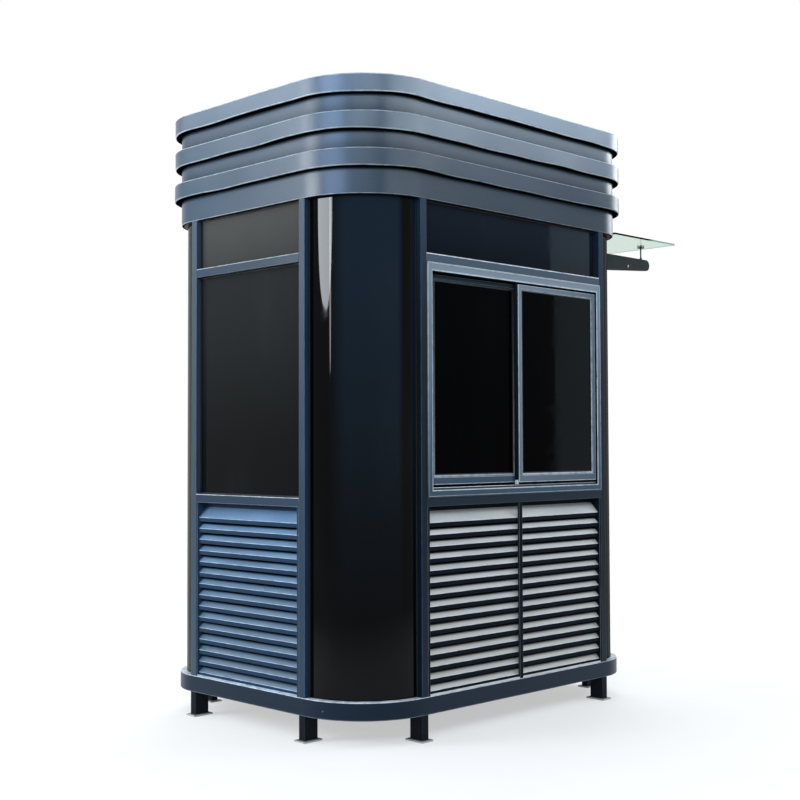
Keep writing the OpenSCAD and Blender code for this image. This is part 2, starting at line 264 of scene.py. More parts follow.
def makePiece(name, parts, finishName, slotName, *stoodFor, side=None, sharpAngle=38):
    # Parts are joined into one mesh, set on a side if one is named, with their marks as point
    # attributes; the piece rides on the root
    points = np.concatenate([part["points"] for part in parts])
    starts = np.cumsum([0] + [len(part["points"]) for part in parts])
    faces = []
    for part, start in zip(parts, starts):
        faces += (part["quads"] + start).tolist() + [(cap + start).tolist() for cap in part["caps"]]
    mesh = bpy.data.meshes.new(name)
    mesh.from_pydata((onSide(side, points) if side else points).tolist(), [], faces)
    for key in sorted({key for part in parts for key in part["marks"]}):
        values = [part["marks"].get(key, np.zeros(len(part["points"]))) for part in parts]
        layer = mesh.attributes.new(key, "FLOAT", "POINT")
        layer.data.foreach_set("value", np.concatenate(values).astype(np.float32))
    shell = bmesh.new()
    shell.from_mesh(mesh)
    bmesh.ops.recalc_face_normals(shell, faces=shell.faces)
    shell.to_mesh(mesh)
    shell.free()
    mesh.shade_smooth()
    mesh.set_sharp_from_angle(angle=math.radians(sharpAngle))
    mesh.materials.append(finish[finishName])
    piece = bpy.data.objects.new(name, mesh)
    bpy.context.scene.collection.objects.link(piece)
    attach(piece, "root")
    if stoodFor:
        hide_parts(*stoodFor)


def hexColour(code):
    # Written colours are display values; the shader takes linear ones
    channel = np.array([int(code[i:i + 2], 16) for i in (1, 3, 5)]) / 255
    linear = np.where(channel <= 0.04045, channel / 12.92, ((channel + 0.055) / 1.055) ** 2.4)
    return (*linear.tolist(), 1.0)


class NodeSheet:
    # The nodes of a material or of the world, added and joined by short calls
    def __init__(self, owner):
        owner.use_nodes = True
        self.owner, self.tree = owner, owner.node_tree
        self.shader = self.tree.nodes.get("Principled BSDF")
        self.place = self.add("TexCoord")
        self.coords = self.place["Object"]

    def feed(self, socket, value):
        if isinstance(value, bpy.types.NodeSocket):
            self.tree.links.new(value, socket)
        else:
            socket.default_value = hexColour(value) if isinstance(value, str) else value

    def add(self, kind, inputs=None, **settings):
        node = self.tree.nodes.new("ShaderNode" + kind)
        for key, setting in settings.items():
            setattr(node, key, setting)
        for key, value in (inputs or {}).items():
            self.feed(node.inputs[key], value)
        return node.outputs

    def set(self, **values):
        for key, value in values.items():
            self.feed(self.shader.inputs[key.replace("_", " ")], value)

    def noise(self, scale, stretch=(1, 1, 1), detail=2.0, rough=0.5):
        place = self.add("Mapping", {"Vector": self.coords, "Scale": stretch})["Vector"]
        grain = {"Vector": place, "Scale": scale, "Detail": detail, "Roughness": rough}
        return self.add("TexNoise", grain)["Fac"]

    def height(self):
        return self.add("SeparateXYZ", {"Vector": self.coords})["Z"]

    def mark(self, name):
        return self.add("Attribute", attribute_name=name)["Fac"]

    def ramp(self, value, low, high, toLow=0.0, toHigh=1.0):
        ends = {"From Min": low, "From Max": high, "To Min": toLow, "To Max": toHigh}
        return self.add("MapRange", {**ends, "Value": value},
                        interpolation_type="SMOOTHSTEP")["Result"]

    def sum(self, kind, a, b):
        return self.add("Math", {0: a, 1: b}, operation=kind)["Value"]

    def mix(self, share, a, b):
        return self.add("Mix", {"Factor": share, "A": a, "B": b}, data_type="RGBA")["Result"]

    def done(self, height, strength, distance):
        # The last touch of a finish is its fine relief
        relief = {"Strength": strength, "Distance": distance, "Height": height}
        self.set(Normal=self.add("Bump", relief)["Normal"])
        return self.owner


def newSheet():
    return NodeSheet(bpy.data.materials.new("finish"))


def paintFinish(dark, light, edgeTone, roughness, gloss, edgeStrength=0.6, chips=0.0, under=None, foot=None,
                faded=None):
    # Sprayed steel: broad tone drift, fine speckle, orange peel, edge tones (the pale ones are painted highlights)
    # and a few chips.
    # Marked parts go near black as painted shade, foot darkens the paint low down as painted shade, and a pale
    # mark lightens it
    sheet = newSheet()
    broad = sheet.ramp(sheet.noise(1.3, (1, 1, 2), 1.0), 0.25, 0.75, 0.0, 0.6)
    speckle = sheet.ramp(sheet.noise(210.0), 0.3, 0.7, 0.0, 0.4)
    colour = sheet.mix(sheet.sum("ADD", broad, speckle), dark, light)
    if foot:
        # painted shade: darker towards the ground
        colour = sheet.mix(sheet.ramp(sheet.height(), 1.5, 2.5, 0.6, 0.0), colour, foot)
    if faded:
        colour = sheet.mix(sheet.mark("faded"), colour, faded)
    patch = sheet.ramp(sheet.noise(26.0, detail=3.0), 0.3, 0.6, 0.55 * edgeStrength, edgeStrength)
    # edges are mixed to the edge tone, broken by a patch; the pale tones are painted highlights
    colour = sheet.mix(sheet.sum("MULTIPLY", sheet.mark("edge"), patch), colour, edgeTone)
    if chips:
        spots = sheet.ramp(sheet.noise(38.0, detail=4.0, rough=0.65), 1 - chips, 1.01 - chips)
        colour = sheet.mix(spots, colour, "#c9ccd0")
    sheet.set(Specular_IOR_Level=gloss)
    # painted shade: marked parts are mixed to near black and lose their gloss
    if under:
        shade = sheet.mark("under")
        colour = sheet.mix(shade, colour, under)
        sheet.set(Specular_IOR_Level=sheet.ramp(shade, 0.0, 1.0, gloss, 0.0))
    smear = sheet.noise(3.0, (1, 1, 2), 1.0)
    sheet.set(Base_Color=colour,
              Roughness=sheet.ramp(smear, 0.2, 0.8, roughness - 0.03, roughness + 0.03))
    return sheet.done(sheet.noise(420.0, detail=1.0), 0.08, 0.0006)


def glassFinish(low, high, span, gloss, dust=0.02, glance=0.08, mark=None):
    # Tinted sheet: the colour lifts with height, a painted reflection of the brighter sky, under a thin film of
    # dust; less glare at a glance
    sheet = newSheet()
    rise = sheet.ramp(sheet.height(), *span)
    if mark:
        rise = sheet.sum("MULTIPLY", rise, sheet.mark(mark))
    film = sheet.ramp(sheet.noise(3.0, (1, 1, 0.35), 5.0, 0.6), 0.45, 0.85, 0.0, dust)
    colour = sheet.mix(film, sheet.mix(rise, low, high), "#8b949c")
    facing = sheet.add("LayerWeight")["Facing"]
    sheet.set(Base_Color=colour, Specular_IOR_Level=gloss)
    sheet.set(Specular_IOR_Level=sheet.ramp(facing, 0.45, 0.9, gloss, glance * gloss))
    sheet.set(Roughness=sheet.ramp(sheet.noise(14.0, detail=3.0), 0.35, 0.8, 0.02, 0.07))
    return sheet.done(sheet.noise(2.4, (1, 1, 0.3)), 0.06, 0.004)


def slatFinish(lip, dark, light, low, fold, paintedLipShadow, roughness, gloss):
    # Folded sheet: the rising face is pale, duller to the foot and darker at its top, a painted shadow under the
    # lip above;
    # the lip keeps the frame's paint, and the fold is painted bright, a painted highlight
    sheet = newSheet()
    grain = sheet.ramp(sheet.noise(2.5, (1, 1, 6), 1.0), 0.25, 0.75, 0.0, 0.7)
    speckle = sheet.ramp(sheet.noise(160.0), 0.3, 0.7, 0.0, 0.3)
    face = sheet.mix(sheet.sum("ADD", grain, speckle), dark, light)
    face = sheet.mix(sheet.ramp(sheet.height(), 0.2, 1.05, 0.7, 0.0), face, low)
    share = sheet.mark("face")        # 0 on the lip, 1 at the fold, 2 at the top of the face
    # painted shadow on the top of the face, under the lip above
    face = sheet.mix(sheet.ramp(share, 1.33, 1.5), face, paintedLipShadow)
    patch = sheet.ramp(sheet.noise(18.0), 0.3, 0.7, 0.5, 1.0)
    shine = sheet.sum("MULTIPLY", sheet.mark("edge"), patch)
    colour = sheet.mix(shine, sheet.mix(share, lip, face), fold)
    sheet.set(Base_Color=colour, Specular_IOR_Level=gloss)
    sheet.set(Specular_IOR_Level=sheet.ramp(share, 0.0, 1.0, 0.02, gloss))
    smear = sheet.noise(4.0, (1, 1, 2), 1.0)
    sheet.set(Roughness=sheet.ramp(smear, 0.2, 0.8, roughness - 0.03, roughness + 0.03))
    return sheet.done(sheet.noise(300.0, detail=1.0), 0.06, 0.0006)


def metalFinish(dark, light, roughness, metal=1.0, grain=(1, 1, 1), edgeTone=None, edgeStrength=0.8):
    # Bare or plated metal: drawn grain, smudged roughness and edges painted bright, a painted highlight
    sheet = newSheet()
    colour = sheet.mix(sheet.ramp(sheet.noise(40.0, grain, 4.0, 0.6), 0.3, 0.72), dark, light)
    if edgeTone:
        colour = sheet.mix(sheet.sum("MULTIPLY", sheet.mark("edge"), edgeStrength), colour, edgeTone)
    smear = sheet.noise(16.0, grain, 3.0)
    sheet.set(Base_Color=colour, Metallic=metal,
              Roughness=sheet.ramp(smear, 0.3, 0.7, roughness - 0.06, roughness + 0.08))
    return sheet.done(sheet.noise(260.0, grain), 0.08, 0.0005)


def clearFinish(body, rim):
    # Clear toughened sheet: pale green, with the deep green of its polished edge
    sheet = newSheet()
    smear = sheet.ramp(sheet.noise(7.0, detail=4.0, rough=0.6), 0.4, 0.75)
    sheet.set(Base_Color=sheet.mix(sheet.mark("edge"), body, rim), Transmission_Weight=1.0,
              IOR=1.04,
              Roughness=sheet.ramp(smear, 0.0, 1.0, 0.02, 0.09))
    return sheet.owner


# A near black that paints shade low down, and a paler tone
paintedFootShade, paleTone = "#05080c", "#90a0ae"
cornerSpan, topSpan = (0.3, 2.4), (2.2, 2.45)          # heights over which a painted reflection lifts the colour
finish = {
    "slatePaint": paintFinish("#182d3f", "#243c51", "#4b647a", 0.36, 0.26, faded=paleTone),
    # The front and back posts and rails take copies of the paint toned for the light on those sides: painted
    # shade, darker towards the ground
    "slateDeep": paintFinish("#16293a", "#203649", "#3c5367", 0.36, 0.15, foot=paintedFootShade),
    "railPaint": paintFinish("#182d3f", "#233b50", "#c9d4dd", 0.36, 0.26, 0.9),
    "railDeep": paintFinish("#20374a", "#2c4558", "#e3eaf0", 0.36, 0.18, 1.0, foot=paintedFootShade,
                            faded=paleTone),
    "ringPaint": paintFinish("#0e1f30", "#15293b", "#d3dfea", 0.34, 0.16, 0.95, chips=0.26),
    # near black: painted shade on the legs, which are the same tubes as the posts
    "legPaint": paintFinish("#090e13", "#121921", "#2f3945", 0.45, 0.08),
    "crownPaint": paintFinish("#23445f", "#2e5370", "#cfdbe6", 0.33, 0.66, 0.9, under="#030405"),
    "sashPaint": paintFinish("#2e4759", "#395466", "#dbe4ec", 0.34, 0.35, 0.95, under="#070c11",
                             faded="#a3b1bd"),
    # Front and back slats: a silver face, a painted reflection of bright sky on the same paint as the blue slats
    "slatSilver": slatFinish("#141c25", "#c2c4c3", "#dadbd9", "#b5b1aa", "#f4f5f5", "#04070a", 0.34,
                             0.4),
    "slatBlue": slatFinish("#2b3f56", "#567390", "#6f92b5", "#4b5967", "#c8dcf0", "#04080d", 0.3,
                           0.5),
    # Copies of one glass toned for each place: the side panes lighter and the near right corner darker, painted
    # reflection
    "blackGloss": glassFinish("#040507", "#152430", cornerSpan, 0.13, 0.015, mark="middle"),
    "deepGloss": glassFinish("#040507", "#0c141b", cornerSpan, 0.03, 0.015, 0.0, "middle"),
    "frontGlass": glassFinish("#010102", "#030406", (1.1, 2.2), 0.02, 0.004),
    "frontTopGlass": glassFinish("#10171f", "#161f2a", topSpan, 0.042),
    "leftGlass": glassFinish("#101213", "#252728", (1.2, 2.2), 0.06),
    "leftTopGlass": glassFinish("#3e3f3d", "#494947", topSpan, 0.1),
    "rubberBlack": metalFinish("#050607", "#0b0c0e", 0.6, 0.0),
    "trackAlloy": metalFinish("#2a3239", "#414a52", 0.3, 0.3, (1, 40, 40), "#e3e7ea", 0.9),
    "footSteel": metalFinish("#1c2228", "#353b41", 0.42, 0.3, edgeTone="#d3d4d0"),
    "brightSteel": metalFinish("#9ba0a3", "#c3c6c7", 0.26, 1.0, (1, 1, 12)),
    "armPaint": paintFinish("#1c2726", "#293634", "#060808", 0.42, 0.15, 0.9),
    "deckGrey": metalFinish("#7a8085", "#8a9094", 0.5, 0.1),
    "nylonWhite": metalFinish("#d9dad8", "#efefec", 0.45, 0.0),
    "canopyGreen": clearFinish("#cde0d8", "#7d9d94"),
}
for finishName, material in finish.items():
    material.name = finishName
print("finishes made:", len(finish))

# Base ring: a rolled tube round the plan, with softened arrises and a ledge painted pale, a painted highlight
ringSize = {"arris": 0.004, "steps": 4, "edgeWeight": 0.25, "swayOut": 0.0006, "swayHigh": 0.0004,
            "waves": ((1.0, 5, 0.2), (0.6, 11, 0.55))}


def makeBaseRing():
    profile, edge, where = roundBox(-tubeDepth, 0, ringZ, floorZ, ringSize["arris"],
                                    ringSize["steps"])
    # painted highlight along the top ledge
    edge = np.where((where > 2) & (where <= 3), 1.0, ringSize["edgeWeight"] * edge)

    def drift(travel, shape):
        sway = swayed(travel, *ringSize["waves"])
        return ringSize["swayOut"] * sway, ringSize["swayHigh"] * sway

    makePiece("baseRing", [roundOutline(profile, edge, drift)], "ringPaint", "frame_paint",
              "base_ring")


# Crown: plain fascia with three bands rolled round it by hand; painted shade values run from the lowest storey up
# Drops below each band and their tones paint a shadow on the fascia; end and front values darken it by storey as
# painted shade
crownSize = {"skin": 0.012, "arris": 0.0035, "shadeDrops": (0.034, 0.018, 0.007, 0.0, -0.004),
             "shadeTones": (0.0, 0.25, 0.7, 0.95, 0.95),
             "endShade": (0.42, 0.42, 0.42), "frontShade": (0.68, 0.58, 0.42)}
# End and front values darken the lower bands as painted shade, most on the front
bandSize = {"out": 0.034, "seat": 0.003, "arris": 0.0045, "seatArris": 0.001, "steps": 4,
            "swayOut": 0.0016, "swayHigh": 0.0014, "phase": 0.13, "phaseStep": 0.29,
            "endShade": (0.37, 0.3, 0.15), "frontShade": (0.62, 0.31, 0.0)}


def bandDrift(phase):
    # Slow and quick sines along the plan: the out drift grows to the lower edge, the band dips a
    # little
    def drift(travel, shape):
        tall = shape[:, 1]
        lower = 1 - (tall - tall.min()) / (tall.max() - tall.min())
        slow = swayed(travel, (1.0, 4, phase), (0.7, 9, 2 * phase))
        quick = swayed(travel, (1.0, 17, 3 * phase)) * swayed(travel, (1.0, 2, phase))
        standing = shape[:, 0] > 0
        out = bandSize["swayOut"] * (0.35 + 0.65 * lower) * (slow + 0.8 * quick) * standing
        return out, bandSize["swayHigh"] * lower * (0.6 * slow + quick)
    return drift


def makeCrown():
    # Painted shade: the fascia is painted darkest right under each band
    names = {"lowerBand": "lower_band", "middleBand": "middle_band", "topBand": "top_band"}
    bands = [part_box(node) for node in names.values()]
    profile, edge, where = roundBox(-crownSize["skin"], 0, crownZ, rimZ, crownSize["arris"])
    shade = (where <= 1).astype(float)               # painted shade keeps the soffit near black
    steps = np.array([[low.z - drop for drop in crownSize["shadeDrops"]] for low, _ in bands]).ravel()
    place = int(np.argmax(where >= 2))
    profile = np.insert(profile, place, np.stack([np.zeros(len(steps)), steps], 1), 0)
    edge = np.insert(edge, place, np.zeros(len(steps)))
    shade = np.insert(shade, place, np.tile(crownSize["shadeTones"], len(bands)))
    _, normals, _ = outlinePath()
    # 1 on the front and the back, 0 on the two ends
    facing = normals[:, 1:] ** 4
    # painted shade by storey, stronger on the front and back than at the ends
    storey = np.searchsorted([low.z + 1e-6 for low, _ in bands[:2]], profile[:, 1])
    end, front = (np.array(crownSize[key])[storey] for key in ("endShade", "frontShade"))
    shade = np.maximum(shade, end + (front - end) * facing)
    makePiece("crownFascia", [roundOutline(profile, edge, under=shade)], "crownPaint",
              "frame_paint",
              "crown_fascia")
    radii = [bandSize[key] for key in ("seatArris", "arris", "arris", "seatArris")]
    for number, (name, node) in enumerate(names.items()):
        low, high = bands[number]
        end, front = bandSize["endShade"][number], bandSize["frontShade"][number]
        profile, edge, where = roundBox(-bandSize["seat"], bandSize["out"], low.z, high.z, radii,
                                        bandSize["steps"])
        # painted shade: the underside near black, the face darker by storey
        under = np.where(where <= 1.0, 1.0, end + (front - end) * facing)
        drift = bandDrift(bandSize["phase"] + bandSize["phaseStep"] * number)
        makePiece(name, [roundOutline(profile, edge, drift, under=under)], "crownPaint",
                  "frame_paint", node)


# Posts and rails: square tube with small arrises; one post of each side and the transoms take a paler tone
tubeSize = {"arris": 0.003, "crest": 0.005, "sillEdgeWeight": 0.12, "postPale": 0.1, "transomPale": 0.15}


def paledPart(part, share):
    marks = {**part["marks"], "faded": np.full(len(part["points"]), share)}
    return {**part, "marks": marks}


def makeFrame():
    tube, deep, arris = tubeFace, tubeDepth, tubeSize["arris"]
    for side in sides:
        half = sides[side][3] / 2
        first, last = (barZ(x, x + tube, 0, deep, floorZ, crownZ, arris)
                       for x in (-half, half - tube))
        paint = "slateDeep" if side in longSides else "slatePaint"
        makePiece(side + "Posts", [paledPart(first, tubeSize["postPale"]), last], paint,
                  "frame_paint",
                  side + "_posts", side=side)
    for side, name, node in (("front", "frontRails", "front_rails"),
                             ("back", "backRails", "back_rails"),
                             ("left", "leftRails", "left_rails"), ("right", "doorHeadRail",
                                                                   "door_head_rail")):
        half = sides[side][3] / 2 - tube
        crest, edgeWeight = (tubeSize["crest"], tubeSize["sillEdgeWeight"]) if side in longSides else (arris, 1.0)
        transom = barX(-half, half, 0, deep, transomZ, topLightZ, arris, crest)
        rails = [paledPart(transom, tubeSize["transomPale"])]
        if side != "right":
            rails.append(barX(-half, half, 0, deep, sillZ, windowZ, arris, arris, edgeWeight))
        paint = "railDeep" if side in longSides else "railPaint"
        makePiece(name, rails, paint, "frame_paint", node, side=side)


# Legs: tube stubs in near-black paint, a painted shade, on plates whose edges are painted bright, a painted
# highlight
legSize = {"arris": 0.003, "thick": 0.008, "margin": 0.016, "corner": 0.004, "draw": 0.0025,
           "bottom": 0.001, "top": 0.0015, "edgeWeight": (1.0, 1.0, 1.0, 0.4)}


def makeLegs():
    tube, deep = tubeFace, tubeDepth
    thick, margin = legSize["thick"], legSize["margin"]
    stations = (0, legSize["bottom"], thick - legSize["top"], thick)
    plates, stubs = [], []
    for side in sides:
        half = sides[side][3] / 2
        for x in (-half, half - tube):
            stub = barZ(x, x + tube, 0, deep, thick, ringZ, legSize["arris"])
            outline, _, _ = roundBox(x - margin, x + tube + margin, -margin, deep + margin,
                                     legSize["corner"])
            plate = carry("z", outline, stations, byCorner(legSize["edgeWeight"]),
                          (0, 0, 0, legSize["draw"]))
            stubs.append(sidePart(side, stub))
            plates.append(sidePart(side, plate))
    makePiece("legTubes", stubs, "legPaint", "frame_paint", "legs")
    makePiece("footPlates", plates, "footSteel", "ironmongery")


# Curved corner panels: one bent sheet each, with the slight ripple of hand bending;
# the painted reflection lifts the colour after the first part of the arc and dips again near its end
panelSize = {"arris": 0.0015, "stations": 72, "ripple": 0.00016,
             "waves": ((1.0, 5.3, 0.4 / math.tau), (0.7, 9.1, 1.9 / math.tau)),
             "liftStart": 0.18, "liftLong": 0.2, "dipPlace": 0.895, "dipLong": 0.06}


def makeCorners():
    # middle + (profile's reach + ripple) * (cos, sin) over a quarter turn
    wide, tight = wideRadius, tightRadius
    layout = (("frontLeftCorner", "front_left_corner", (-1, -1), wide, 180, "blackGloss"),
              ("frontRightCorner", "front_right_corner", (1, -1), tight, 270, "deepGloss"),
              ("backLeftCorner", "back_left_corner", (-1, 1), tight, 90, "blackGloss"),
              ("backRightCorner", "back_right_corner", (1, 1), wide, 0, "blackGloss"))
    share = np.linspace(0, 1, panelSize["stations"] + 1)
    ripple = panelSize["ripple"] * np.sin(math.pi * share) * swayed(share, *panelSize["waves"])
    lift = eased((share - panelSize["liftStart"]) / panelSize["liftLong"])
    dip = eased(np.abs(share - panelSize["dipPlace"]) / panelSize["dipLong"] - 0.5)
    for name, node, signs, radius, startDegrees, gloss in layout:
        angle = math.radians(startDegrees) + math.pi / 2 * share
        outer = radius - glassInset
        profile, edge, _ = roundBox(outer - glassThick, outer, floorZ, crownZ, panelSize["arris"])
        middle = np.array([midX, 0]) + np.array(signs) * (np.array([halfW, halfD]) - radius)
        reach = profile[:, 0] + ripple[:, None]
        flat = middle + reach[..., None] * np.stack([np.cos(angle), np.sin(angle)], 1)[:, None]
        high = np.broadcast_to(profile[:, 1], reach.shape)[..., None]
        panel = gridPart(np.concatenate([flat, high], -1), edge, middle=(lift * dip)[:, None])
        makePiece(name, [panel], gloss, "panel_gloss", node)


# Glazing seals: a black bead round every fixed pane and down every corner panel
sealSize = {"face": 0.007, "depth": 0.006, "lap": 0.001, "beadDepth": 0.007, "arris": 0.0015}


def makeSeals():
    y, face, arris = glassInset, sealSize["face"], sealSize["arris"]
    low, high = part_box("door_glass")
    doorHalf = (high.y - low.y) / 2
    panes = [(side, sides[side][3] / 2 - tubeFace, topLightZ, crownZ) for side in sides]
    panes += [("left", sideOpen / 2, windowZ, transomZ), ("right", doorHalf, low.z, high.z)]
    seals = [sidePart(side,
                      sealRing((-half, half, z0, z1), face, y - sealSize["depth"],
                               y + sealSize["lap"], arris))
             for side, half, z0, z1 in panes]
    makePiece("paneSeals", seals, "rubberBlack", "tinted_glass")
    beads = []
    for side in sides:
        run = sides[side][3] / 2
        for x in (-run - face, run):
            bead = barZ(x, x + face, y - sealSize["beadDepth"], y, floorZ, crownZ, arris)
            beads.append(sidePart(side, bead))
    makePiece("cornerSeals", beads, "rubberBlack", "panel_gloss")


# Sliding windows: lipped frame, two tracks, two sashes with rubber round their glass
windowSize = {"face": 0.032, "head": 0.040, "foot": 0.033, "lip": 0.005, "sink": 0.0025,
              "slant": 0.002,
              "radii": [0.001, 0.0016, 0.0008, 0.0008, 0.0008, 0.0008, 0.003, 0.001],
              "reveal": 0.95, "outerEdgeWeight": (0.1, 0.1, 1.0, 1.0), "faded": (0.0, 0.0, 0.5, 0.5)}
sashSize = {"stile": 0.040, "top": 0.034, "foot": 0.057, "bead": 0.006, "sink": 0.003,
            "slant": 0.002,
            "rebateWide": 0.009, "rebateDeep": 0.008, "groove": 0.5,
            "radii": [0.001, 0.001, 0.0008, 0.002, 0.001, 0.0006, 0.0018, 0.001],
            "seal": 0.005, "sealOut": 0.003, "sealLap": 0.001}
# Per sash, four values by corner: a pale share that lightens the outer sash as a painted highlight, painted shadow
# from the head on the inner sash's top rail, and the strength of the painted highlight on the bead
sashLooks = {"outer": {"faded": (0.26, 0.078, 0.13, 0.416), "shade": (0.0, 0.0, 0.0, 0.0),
                       "glow": (0.6, 0.75, 0.6, 0.3)},
             "inner": {"faded": (0.0, 0.0, 0.0, 0.0), "shade": (0.0, 0.0, 0.75, 0.75),
                       "glow": (0.6, 0.4, 0.05, 0.3)}}
trackSize = {"half": 0.002, "sunk": 0.001, "arris": 0.0012}
guideSize = {"out": 0.003, "wide": 0.008, "clear": 0.002, "high": 0.022, "corner": 0.001}


def makeSash(side, which):
    # Profile (across the stile, inwards): rebate, face, slant to the sunk bead, and the glass side;
    # gives back the rubber round the glass
    (x0, x1), (y0, y1), (z0, z1) = localBox(f"{side}_{which}_sash", side)
    stile, look = sashSize["stile"], sashLooks[which]
    beadStart, slant, sunk = stile - sashSize["bead"], sashSize["slant"], y0 + sashSize["sink"]
    wide, deep = sashSize["rebateWide"], y0 + sashSize["rebateDeep"]
    shape = [(0, y1), (0, deep), (wide, deep), (wide, y0), (beadStart - slant, y0),
             (beadStart, sunk),
             (stile, sunk + slant), (stile, y1)]
    profile, edge, where = roundProfile(shape, sashSize["radii"])
    # painted shade: the crease before the bead is painted dark
    groove = ((where >= 4.5) & (where < 5.3)) * sashSize["groove"]
    rebate = (where < 2.9995) * windowSize["reveal"]             # painted shade in the rebate
    bead = (where >= 5.3) & (where < 6.99)                       # painted highlight along the bead by the glass
    edge = np.where(bead, byCorner(look["glow"]), edge * (where >= 3))
    inner = (x0 + stile, x1 - stile, z0 + sashSize["foot"], z1 - sashSize["top"])
    ring = mitred((x0, x1, z0, z1), inner, profile, stile, edge, faded=byCorner(look["faded"]),
                  under=np.maximum(byCorner(look["shade"]), groove + rebate))
    makePiece(f"{side}{which.capitalize()}Sash", [ring], "sashPaint", "window_paint",
              f"{side}_{which}_sash", side=side)
    glassFront = (y0 + y1) / 2 - glassThick / 2
    lap = sashSize["sealLap"]
    return sealRing(inner, sashSize["seal"], glassFront - sashSize["sealOut"], glassFront + lap,
                    lap)


def makeWindow(side):
    # Profile (across the frame, inwards): an outer lip, a sunk face, an inner lip and the reveal
    (x0, x1), (y0, y1), (z0, z1) = localBox(side + "_window_frame", side)
    face, lip, sunk = windowSize["face"], windowSize["lip"], y0 + windowSize["sink"]
    slant = lip + windowSize["slant"]
    shape = [(0, y1), (0, y0), (lip, y0), (slant, sunk), (face - slant, sunk), (face - lip, y0),
             (face, y0), (face, y1)]
    profile, edge, where = roundProfile(shape, windowSize["radii"])
    # painted shade on the sides towards the sashes
    reveal = (where >= 6.99) * windowSize["reveal"]
    # painted highlight on the outer arris, strongest along the head
    edge = np.where((where >= 1) & (where < 2), edge * byCorner(windowSize["outerEdgeWeight"]), edge)
    inner = (x0 + face, x1 - face, z0 + windowSize["foot"], z1 - windowSize["head"])
    ring = mitred((x0, x1, z0, z1), inner, profile, face, edge, under=reveal,
                  faded=byCorner(windowSize["faded"]))           # the head is painted paler, a painted highlight
    makePiece(side + "WindowFrame", [ring], "sashPaint", "window_paint", side + "_window_frame",
              side=side)
    rubber = [makeSash(side, which) for which in sashLooks]
    makePiece(side + "SashSeals", rubber, "rubberBlack", "tinted_glass", side=side)
    tracks = []
    for which in sashLooks:
        _, (s0, s1), (sashFoot, _) = localBox(f"{side}_{which}_sash", side)
        middle, half = (s0 + s1) / 2, trackSize["half"]
        tracks.append(barX(inner[0], inner[1], middle - half, middle + half,
                           inner[2] - trackSize["sunk"],
                           sashFoot, trackSize["arris"]))
    makePiece(side + "Tracks", tracks, "trackAlloy", "ironmongery", side=side)
    (o0, _), (s0, s1), (sashFoot, _) = localBox(side + "_outer_sash", side)
    start, clear = o0 - guideSize["out"], guideSize["clear"]
    guide = plateY(start, start + guideSize["wide"], s0 + clear, s1 - clear, sashFoot + clear,
                   sashFoot + clear + guideSize["high"], guideSize["corner"])
    makePiece(side + "SashGuide", [guide], "nylonWhite", "window_paint", side=side)


# Louvres: folded slats between strips; each slat sits a little differently
slatSize = {"inset": 0.010, "deep": 0.050, "rise": 0.054, "lip": 0.020, "upstand": 0.020,
            "sheet": 0.003,
            "pitch": 0.0544, "jitter": 0.0007, "radii": [0.001, 0.001, 0.0008, 0.003, 0.001, 0.001,
                                                         0.002, 0.0022]}
louvreSize = {"strip": 0.014, "mullion": 0.026, "arris": 0.002, "edgeWeight": 0.12, "lap": 0.001,
              "foot": 0.007, "footArris": 0.001, "footEdgeWeight": 0.6}


def slatProfile():
    # Lip, rising face and upstand as one folded sheet in (y, z)
    start, deep, rise, lip = (slatSize[key] for key in ("inset", "deep", "rise", "lip"))
    sheet, tall = slatSize["sheet"], lip + rise + slatSize["upstand"]
    slope = rise / deep
    drop = sheet * math.sqrt(1 + slope * slope)
    fold = lip + sheet * slope
    shape = np.array([(0, 0), (sheet, 0), (sheet, fold - drop), (deep, lip + rise - drop),
                      (deep, tall),
                      (deep - sheet, tall), (deep - sheet, lip + rise - sheet * slope), (0, lip)])
    profile, edge, where = roundProfile(shape + [start, 0], slatSize["radii"])
    face = np.where((where >= 6) & (where < 7), 2.0,
                    np.where((where >= 7) & (where < 7.3), 1.0, 0.0))
    # no slat above the top one, so no painted shadow on it
    topFace = np.where(where < 6.6, 0.0, np.minimum(face, 1.0))
    return profile, edge * (where >= 7), face, topFace, tall


def slatBank(half, z0, z1):
    # The slat's profile at both ends and the middle of each slat, each moved by its own small draw
    profile, edge, face, topFace, tall = slatProfile()
    gaps = int(round((z1 - z0 - tall) / slatSize["pitch"]))
    base = z0 + np.arange(gaps + 1) * (z1 - z0 - tall) / gaps
    draws = (gaps + 1, 3, 1)
    grid = np.zeros((gaps + 1, 3, len(profile), 3))
    grid[..., 0] = np.array([-half, 0, half])[None, :, None]
    grid[..., 1] = profile[:, 0] + slatSize["jitter"] * dice.uniform(0, 1, draws)
    grid[..., 2] = profile[:, 1] + base[:, None, None] + slatSize["jitter"] * dice.uniform(-1, 1,
                                                                                           draws)
    return [gridPart(slat, edge, face=mark) for slat, mark in zip(grid, [face] * gaps + [topFace])]


def makeLouvre(name, node, side, half, z0, z1, slats):
    strip, arris, edgeWeight, lap = (louvreSize[key] for key in ("strip", "arris", "edgeWeight", "lap"))
    front = slatSize["inset"]
    uprights = [(-half, strip, front + slatSize["deep"]),
                (half - strip, strip, front + slatSize["deep"])]
    if side in longSides:
        uprights.append((-louvreSize["mullion"] / 2, louvreSize["mullion"], front + lap))
    bars = [barZ(x, x + wide, 0, deep, z0, z1, arris, edgeWeight) for x, wide, deep in uprights]
    profile, edge, _ = roundBox(lap, front + 2 * lap, z0, z0 + louvreSize["foot"],
                                louvreSize["footArris"])
    footEdgeWeight = louvreSize["footEdgeWeight"] + edge * (1 - louvreSize["footEdgeWeight"])
    # pale strip along the foot
    bars.append(carry("x", profile, (-half, half), footEdgeWeight, face=1.0))
    makePiece(name, slatBank(half - strip, z0, z1) + bars, slats, "louvre_paint", node, side=side)


